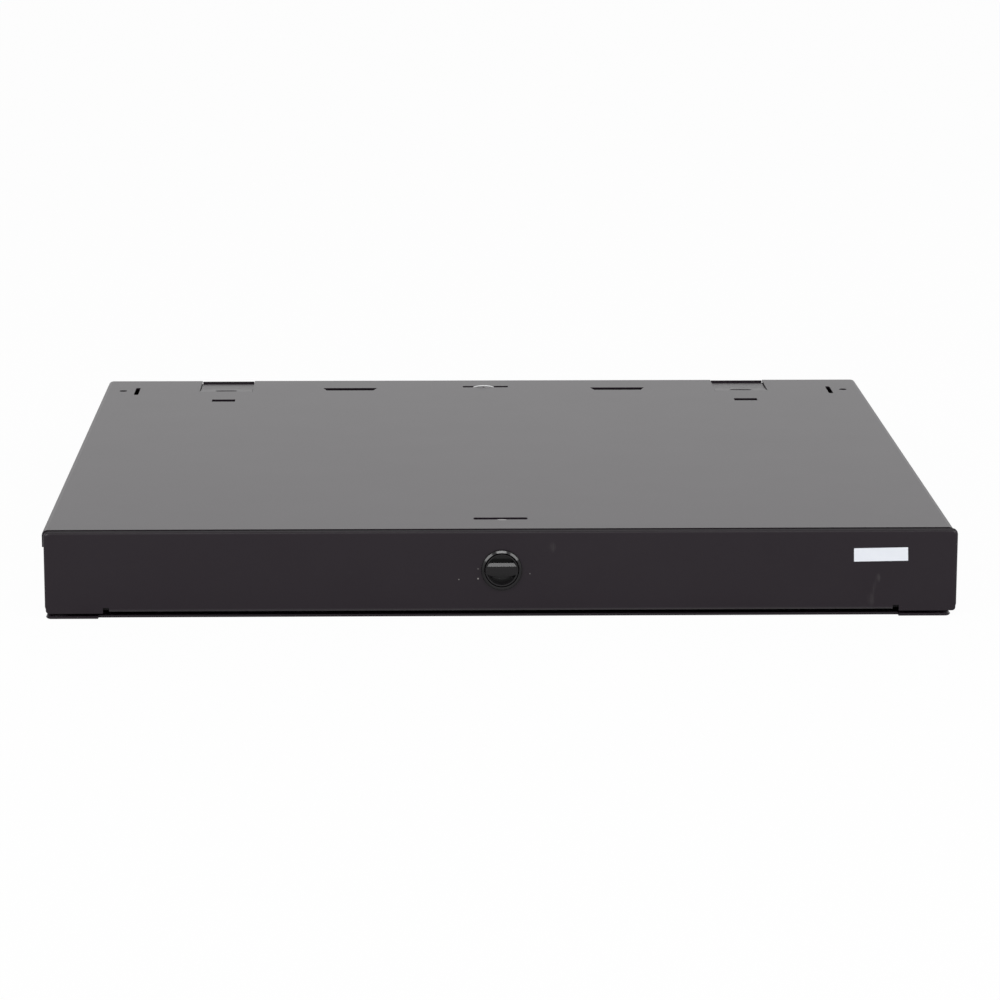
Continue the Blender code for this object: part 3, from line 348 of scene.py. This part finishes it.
def zinc_plate(name, colour, roughness, streak):
    """Plated steel with fine rolling marks along the streak's long axis."""
    made, tree, shader = start_material(name, colour, roughness, 1.0)
    place = object_place(tree)
    drawn = add_node(tree, "Mapping", {"Vector": place, "Scale": streak}).outputs["Vector"]
    marks = noise(tree, drawn, 900.0, 3.0)
    cloud = noise(tree, place, 60.0, 4.0)
    dull = tuple(c * 0.86 for c in colour)
    dulled = mix_colour(tree, spread(tree, cloud, 0.35, 0.7, 0.0, 1.0), colour, dull)
    link(tree, dulled, shader, "Base Color")
    link(tree, spread(tree, marks, 0.3, 0.7, roughness - 0.06, roughness + 0.10), shader, "Roughness")
    add_bump(tree, shader, marks, 0.15, 0.00002)
    return made


def rubber():
    """Matt black rubber of the grommets."""
    made, tree, shader = start_material("grommet_rubber_look", (0.013, 0.013, 0.013), 0.75)
    place = object_place(tree)
    link(tree, spread(tree, noise(tree, place, 120.0), 0.3, 0.7, 0.66, 0.84), shader, "Roughness")
    add_bump(tree, shader, noise(tree, place, 1800.0, 2.0), 0.2, 0.00004)
    return made


def moulded(name, colour, light, roughness):
    """A coloured moulding with slight clouding and a fine surface."""
    made, tree, shader = start_material(name, colour, roughness)
    place = object_place(tree)
    cloud = spread(tree, noise(tree, place, 110.0), 0.3, 0.7, 0.0, 1.0)
    link(tree, mix_colour(tree, cloud, colour, light), shader, "Base Color")
    link(tree, spread(tree, cloud, 0.0, 1.0, roughness - 0.03, roughness + 0.05), shader, "Roughness")
    add_bump(tree, shader, noise(tree, place, 2200.0, 2.0), 0.1, 0.00002)
    return made


LOOKS = {
    "powder_coat": powder_coat(),
    "zinc": zinc_plate("zinc_look", (0.78, 0.78, 0.79), 0.30, (1.0, 0.2, 1.0)),
    "rail_steel": zinc_plate("rail_steel_look", (0.56, 0.57, 0.59), 0.32, (1.0, 0.06, 1.0)),
    "black_plastic": moulded_black(),
    "latch_black": latch_black(),
    "rubber": rubber(),
    "adapter_blue": moulded("adapter_blue_look", (0.012, 0.14, 0.42), (0.016, 0.165, 0.46), 0.34),
    "dust_cap": moulded("dust_cap_look", (0.58, 0.60, 0.62), (0.64, 0.655, 0.67), 0.42),
    "label": moulded("label_film_look", (0.695, 0.72, 0.765), (0.675, 0.70, 0.75), 0.42),
}


# Forms

def add_piece(name, draw, look, body, smooth=None):
    """A mesh piece filled by a draw function, riding on a body."""
    bm = bmesh.new()
    draw(bm)
    bmesh.ops.recalc_face_normals(bm, faces=bm.faces)
    mesh = bpy.data.meshes.new(name)
    bm.to_mesh(mesh)
    bm.free()
    piece = bpy.data.objects.new(name, mesh)
    bpy.context.scene.collection.objects.link(piece)
    mesh.materials.append(LOOKS[look])
    if smooth is not None:
        mesh.shade_smooth()
        mesh.set_sharp_from_angle(angle=smooth)
    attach(piece, body)
    return piece


def turned(bm, profile, centre, axis, sides=32):
    """A profile of (radius, distance along the axis) points, spun round the axis through a centre."""
    axis = Vector(axis).normalized()
    radial = axis.orthogonal().normalized()
    points = [bm.verts.new(centre + radial * r + axis * t) for r, t in profile]
    edges = [bm.edges.new(pair) for pair in zip(points, points[1:])]
    bmesh.ops.spin(bm, geom=points + edges, cent=centre, axis=axis, angle=2 * pi, steps=sides,
                   use_merge=True)
    bmesh.ops.remove_doubles(bm, verts=bm.verts, dist=1e-6)


def lofted(bm, rings):
    """A closed form through rings of points, the first and the last filled."""
    made = [[bm.verts.new(point) for point in ring] for ring in rings]
    for before, after in zip(made, made[1:]):
        for k in range(len(before)):
            n = (k + 1) % len(before)
            bm.faces.new((before[k], before[n], after[n], after[k]))
    bm.faces.new(made[0])
    bm.faces.new(made[-1])


def soft_box(bm, low, high, bevel, segments=2):
    """A box between two corners with rounded edges."""
    size = Vector(high) - Vector(low)
    place = Matrix.Translation((Vector(high) + Vector(low)) / 2) @ Matrix.Diagonal((*size, 1))
    made = bmesh.ops.create_cube(bm, size=1.0, matrix=place)
    edges = {edge for vert in made["verts"] for edge in vert.link_edges}
    bmesh.ops.bevel(bm, geom=list(edges), offset=bevel, segments=segments, profile=0.5, affect="EDGES")


def quarter_turn(centre, radius, start, steps=4):
    """Points of a quarter circle in (radius, depth), from a start angle counted in quarters."""
    turns = [(start + step / steps) * pi / 2 for step in range(steps + 1)]
    return [(centre[0] + radius * cos(a), centre[1] + radius * sin(a)) for a in turns]


# Screws with a crossed recess

def screw_head(bm, centre, axis, radius, height):
    """A pan head standing on a face, with a crossed recess in its top."""
    axis = Vector(axis).normalized()
    across = axis.orthogonal().normalized()
    along = axis.cross(across)
    arm, half = radius * 0.55, radius * 0.13
    corner = atan(half / arm)
    quarter = (0.0, corner, pi / 6, pi / 4, pi / 3, pi / 2 - corner)
    turns = [k * pi / 2 + a for k in range(4) for a in quarter]

    def recess(angle):
        near = abs((angle + pi / 4) % (pi / 2) - pi / 4)
        return arm / cos(near) if near <= corner + 1e-9 else half / sin(near)

    def ring(reach, rise):
        return [centre + (across * cos(a) + along * sin(a)) * (reach(a) if callable(reach) else reach)
                + axis * rise for a in turns]

    lofted(bm, [ring(radius, 0.0), ring(radius, height * 0.45), ring(radius * 0.93, height * 0.78),
                ring(radius * 0.74, height), ring(recess, height),
                ring(lambda a: recess(a) * 0.8, height * 0.3)])


def make_screw(name, centre, axis, size, body):
    """A zinc-plated screw; size is the radius and the height of its head."""
    def draw(bm):
        screw_head(bm, Vector(centre), axis, *size)

    add_piece(name, draw, "zinc", body, smooth=radians(35))


# Door and shell

def make_label():
    """The blank label, a thin film on the door's face."""
    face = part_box("door_panel")[0].y

    def draw(bm):
        lofted(bm, [[(x, y, z) for x, z in LABEL_CORNERS] for y in (face, face - LABEL_THICKNESS)])

    add_piece("door_label", draw, "label", "door")


def rivet_profile():
    """A dome with a small hollow in its middle, as (radius, height) points."""
    turns = [step / 6 * pi / 2 for step in range(6)]
    return ([(RIVET_HEAD * cos(a), RIVET_DOME * sin(a)) for a in turns]
            + [(RIVET_HEAD * 0.30, RIVET_DOME * 0.94), (RIVET_HEAD * 0.24, RIVET_DOME * 0.55),
               (0.0, RIVET_DOME * 0.55)])


def make_rivet(name, centre, axis):
    def draw(bm):
        turned(bm, rivet_profile(), centre, axis, 28)

    add_piece(name, draw, "powder_coat", "chassis", smooth=radians(40))


def make_side_rivets():
    """Rivets on both side walls, at the places where the outer rails are fixed."""
    low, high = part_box("base_pan")
    for side, hand, wall in ((-1, "left", low.x), (1, "right", high.x)):
        for number, back in enumerate(RIVET_BACKS, 1):
            centre = Vector((wall, low.y + back, RIVET_Z))
            make_rivet(f"{hand}_wall_rivet_{number}", centre, (side, 0, 0))


# Latches

def bezel_profile():
    """The latch's ring and its sleeve through the sheet, as (radius, depth) points of a closed loop."""
    edge = BEZEL_SLOPE - LATCH_PROUD
    return [(BEZEL_BORE + 0.0003, -LATCH_PROUD), (BEZEL_OUTER - 0.0002, edge - 0.0001),
            (BEZEL_OUTER, edge + 0.0002), (BEZEL_OUTER, 0.0), (SLEEVE, 0.0), (SLEEVE, SLEEVE_DEPTH),
            (BEZEL_BORE, SLEEVE_DEPTH), (BEZEL_BORE, 0.0003 - LATCH_PROUD)]


def knob_profile(stem_end, shoulder):
    """The knob from the floor of its round recess over the rim to the end of its stem."""
    # Radii of the rounded edges on the rim's outer and inner side
    outer, inner = 0.0004, 0.0003
    return ([(0.0, POCKET_FLOOR), (POCKET_RIM - 0.0002, POCKET_FLOOR)]
            + quarter_turn((POCKET_RIM + inner, KNOB_FRONT + inner), inner, 2, 3)
            + quarter_turn((KNOB_OUTER - outer, KNOB_FRONT + outer), outer, 3, 3)
            + [(KNOB_OUTER, COLLAR_DEPTHS[0]), (COLLAR, COLLAR_DEPTHS[0]), (COLLAR, COLLAR_DEPTHS[1]),
               (STEM, COLLAR_DEPTHS[1]), (STEM, shoulder - SHOULDER_LENGTH),
               (SHOULDER, shoulder - SHOULDER_LENGTH), (SHOULDER, shoulder), (STEM, shoulder),
               (STEM, stem_end - 0.0005), (STEM - 0.0005, stem_end), (0.0, stem_end)])


def grip_rows():
    """The grip bar from the side, as (height, depth) points with softened edges."""
    face = KNOB_FRONT + 0.00015
    half = [(GRIP_FACE - 0.0001, face), (GRIP_FACE, face + 0.00003),
            (GRIP_HALF - 0.0001, face + GRIP_SLOPE - 0.00005), (GRIP_HALF, face + GRIP_SLOPE + 0.0002),
            (GRIP_HALF, POCKET_FLOOR + 0.0003)]
    return [(-z, depth) for z, depth in reversed(half)] + half


def make_latch(prefix, stem_depths, carrier, turning):
    """The latch's ring and knob, drawn in full round the CAD latch's own place."""
    low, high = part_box(f"{prefix}_latch_bezel")
    inward = 1 if prefix == "front" else -1
    face = low.y + LATCH_PROUD if inward > 0 else high.y - LATCH_PROUD
    centre = Vector(((low.x + high.x) / 2, face, (low.z + high.z) / 2))
    axis = (0, inward, 0)

    def bezel(bm):
        profile = bezel_profile()
        turned(bm, profile + profile[:1], centre, axis, 64)

    def knob(bm):
        turned(bm, knob_profile(*stem_depths), centre, axis, 64)
        reach = (POCKET_RIM + KNOB_OUTER) / 2
        sections = []
        for share in (-1.0, 1.0):
            sections.append([centre + Vector((share * sqrt(reach ** 2 - z ** 2), inward * depth, z))
                             for z, depth in grip_rows()])
        lofted(bm, sections)

    ring = add_piece(f"{prefix}_latch_ring", bezel, "latch_black", carrier, smooth=radians(12))
    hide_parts(f"{prefix}_latch_bezel")
    grip = add_piece(f"{prefix}_latch_grip", knob, "latch_black", turning, smooth=radians(12))
    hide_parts(f"{prefix}_latch_knob")


# Drawer

def make_adapter(panel, place):
    """A duplex adapter in its panel: housing, panel clips, dust caps of its four ports, and screws."""
    name = f"adapter_{panel}_{place}"
    low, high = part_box(name)
    x, z = (low.x + high.x) / 2, (low.z + high.z) / 2
    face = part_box(f"adapter_panel_{panel}")[0].y
    half_x, half_z = ADAPTER_HALF
    edge = MOULDED_EDGE
    ends = (face - ADAPTER_REACH, face + ADAPTER_REACH)
    flange = (face - FLANGE_DEPTHS[1], face - FLANGE_DEPTHS[0])

    def box(bm, half_width, half_height, front, back, bevel, segments=2):
        soft_box(bm, (x - half_width, front, z - half_height), (x + half_width, back, z + half_height),
                 bevel, segments)

    def housing(bm):
        middle = face + HALVES_MEET
        box(bm, half_x, half_z, ends[0], middle - HALVES_GAP, edge)
        box(bm, half_x, half_z, middle + HALVES_GAP, ends[1], edge)
        box(bm, half_x - edge, half_z - edge, middle - 0.001, middle + 0.001, 0.0002, 1)
        box(bm, half_x, FLANGE_HALF, *flange, edge)
        for side in (-1, 1):
            near, far = sorted((z + side * half_z, z + side * (half_z + RIB_HEIGHT)))
            for y in (ends[0] + 0.0012, ends[1] - 0.0062):
                for across in (x - RIB_ACROSS, x + RIB_ACROSS):
                    soft_box(bm, (across - RIB_HALF, y, near), (across + RIB_HALF, y + RIB_LENGTH, far),
                             0.0002, 1)

    def clip(bm):
        for side in (-1, 1):
            near, far = sorted((z + side * (half_z + 0.0001), z + side * (half_z + RIB_HEIGHT)))
            soft_box(bm, (x - CLIP_HALF, face + CLIP_DEPTHS[0], near),
                     (x + CLIP_HALF, face + CLIP_DEPTHS[1], far), 0.0001, 1)

    def caps(bm):
        sections = ((-CAP_COLLAR, CAP_COLLAR, CAP_HALF + 0.0003), (0.0, CAP_REACH, CAP_HALF))
        for end, outward in ((ends[0], -1), (ends[1], 1)):
            for port in (z - CAP_SPACING / 2, z + CAP_SPACING / 2):
                for near, far, half in sections:
                    front, back = sorted((end + outward * near, end + outward * far))
                    soft_box(bm, (x - half, front, port - half), (x + half, back, port + half), 0.0005)

    made = add_piece(f"{name}_housing", housing, "adapter_blue", "drawer", smooth=radians(35))
    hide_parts(name)
    add_piece(f"{name}_clip", clip, "zinc", "drawer", smooth=radians(35))
    add_piece(f"{name}_dust_caps", caps, "dust_cap", "drawer", smooth=radians(35))
    for side, row in ((-1, "lower"), (1, "upper")):
        make_screw(f"{name}_{row}_screw", (x, flange[0], z + side * ADAPTER_SCREW_Z), (0, -1, 0),
                   ADAPTER_SCREW, "drawer")


def make_plunger(number):
    """A push-pull plunger with a waisted head, drawn finer than its CAD piece."""
    node = f"plunger_{number}"
    low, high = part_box(node)
    centre = Vector(((low.x + high.x) / 2, low.y, (low.z + high.z) / 2))
    length = high.y - low.y
    tip, taper = PLUNGER_TIP
    profile = [*PLUNGER_HEAD, (PLUNGER_STEM, PLUNGER_HEAD[-1][1]), (PLUNGER_STEM, length - taper),
               (tip, length), (0.0, length)]

    def draw(bm):
        turned(bm, profile, centre, (0, 1, 0), 32)

    made = add_piece(f"{node}_knob", draw, "black_plastic", node, smooth=radians(40))
    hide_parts(node)


def make_floor_screw(name, node, thickness, size):
    """A screw in the middle of a fitting's floor."""
    low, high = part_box(node)
    centre = ((low.x + high.x) / 2, (low.y + high.y) / 2, low.z + thickness)
    make_screw(name, centre, (0, 0, 1), size, "drawer")


def make_drawer_screws():
    """Screws that hold the fittings to the tray and the tray to its rails."""
    frame_low, frame_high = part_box("panel_frame")
    for number, x in enumerate(FOOT_SCREW_X, 1):
        centre = (x, frame_high.y - FOOT_SCREW_BACK, frame_low.z + STEEL_SHEET)
        make_screw(f"frame_foot_screw_{number}", centre, (0, 0, 1), FOOT_SCREW, "drawer")
    for hand in ("left", "right"):
        make_floor_screw(f"{hand}_spool_screw", f"{hand}_slack_spool", SPOOL_FLOOR, SPOOL_SCREW)
        make_floor_screw(f"{hand}_guide_screw", f"{hand}_cord_guide", GUIDE_FLOOR, GUIDE_SCREW)
    low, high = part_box("drawer_tray")
    depths = (low.y + RAIL_SCREW_END, RAIL_SCREW_MIDDLE, high.y - RAIL_SCREW_END)
    for side, hand, wall in ((-1, "left", low.x + STEEL_SHEET), (1, "right", high.x - STEEL_SHEET)):
        for number, y in enumerate(depths, 1):
            make_screw(f"{hand}_rail_screw_{number}", (wall, y, RAIL_SCREW_Z), (-side, 0, 0), RAIL_SCREW,
                       "drawer")


# Stage

def make_floor():
    """A large pale floor, nearly white to the camera and darker where the object shades it."""
    bpy.ops.mesh.primitive_plane_add(size=FLOOR_SIZE, location=(0.0, 0.0, -FLOOR_DROP))
    floor = bpy.context.object
    floor.name = "studio_floor"
    made, tree, shader = start_material("studio_floor_look", FLOOR, 0.9)
    place = object_place(tree)
    tint = spread(tree, noise(tree, place, 3.0), 0.3, 0.7, 0.0, 1.0)
    link(tree, mix_colour(tree, tint, FLOOR, FLOOR_LIGHT), shader, "Base Color")
    white = add_node(tree, "Emission", {"Color": (1, 1, 1, 1), "Strength": BACKDROP_LEVEL})
    path = add_node(tree, "LightPath")
    seen = multiplied(tree, path.outputs["Is Camera Ray"], FLOOR_SEEN)
    mixed = add_node(tree, "MixShader", {0: seen, 1: shader.outputs[0], 2: white.outputs[0]})
    tree.links.new(mixed.outputs[0], tree.nodes["Material Output"].inputs["Surface"])
    floor.data.materials.append(made)


def make_world():
    """Even light from all round, and plain white where the camera or a reflection sees it."""
    world = bpy.data.worlds.new("studio_world")
    bpy.context.scene.world = world
    world.use_nodes = True
    tree = world.node_tree
    background = tree.nodes["Background"]
    background.inputs["Color"].default_value = (1, 1, 1, 1)
    path = add_node(tree, "LightPath")
    seen = math_node(tree, "MAXIMUM", path.outputs["Is Camera Ray"], path.outputs["Is Glossy Ray"])
    seen = math_node(tree, "MAXIMUM", seen, path.outputs["Is Transmission Ray"])
    level = spread(tree, seen, 0.0, 1.0, WORLD_LEVEL, BACKDROP_LEVEL)
    tree.links.new(level, background.inputs["Strength"])


def add_lamp(name, place, size, power):
    """A soft box turned towards the object."""
    data = bpy.data.lights.new(name, "AREA")
    data.shape = "RECTANGLE"
    data.size, data.size_y = size
    data.energy = power
    lamp = bpy.data.objects.new(name, data)
    bpy.context.scene.collection.objects.link(lamp)
    lamp.location = place
    lamp.rotation_euler = Vector(place).to_track_quat("Z", "Y").to_euler()


def make_camera():
    """A long lens at the photo's angle."""
    data = bpy.data.cameras.new("studio_camera")
    data.sensor_fit = "HORIZONTAL"
    data.sensor_width = 36.0
    data.lens = CAMERA_LENS
    data.clip_end = 100.0
    camera = bpy.data.objects.new("studio_camera", data)
    bpy.context.scene.collection.objects.link(camera)
    turn = Matrix.Rotation(-CAMERA_TURN, 4, "Z") @ Matrix.Rotation(pi / 2 - CAMERA_TILT, 4, "X")
    camera.matrix_world = Matrix.Translation(CAMERA_PLACE) @ turn @ Matrix.Rotation(CAMERA_ROLL, 4, "Z")
    bpy.context.scene.camera = camera


def dress_nodes():
    """Gives every CAD node the detailed look of the finish it was made in."""
    for node in nodes.values():
        for slot in node.material_slots:
            finish = slot.material.name.split(".")[0]
            slot.material = LOOKS[finish]


def main():
    bpy.context.scene.view_settings.view_transform = "Standard"
    make_camera()
    make_world()
    make_floor()
    for name, (place, size, power) in LAMPS.items():
        add_lamp(name, place, size, power)
    dress_nodes()
    make_label()
    make_side_rivets()
    make_latch("front", FRONT_STEM, "door", "front_latch")
    make_latch("rear", REAR_STEM, "chassis", "rear_latch")
    for panel in (1, 2, 3):
        for place in range(1, 7):
            make_adapter(panel, place)
    for number in range(1, 7):
        make_plunger(number)
    make_drawer_screws()


main()
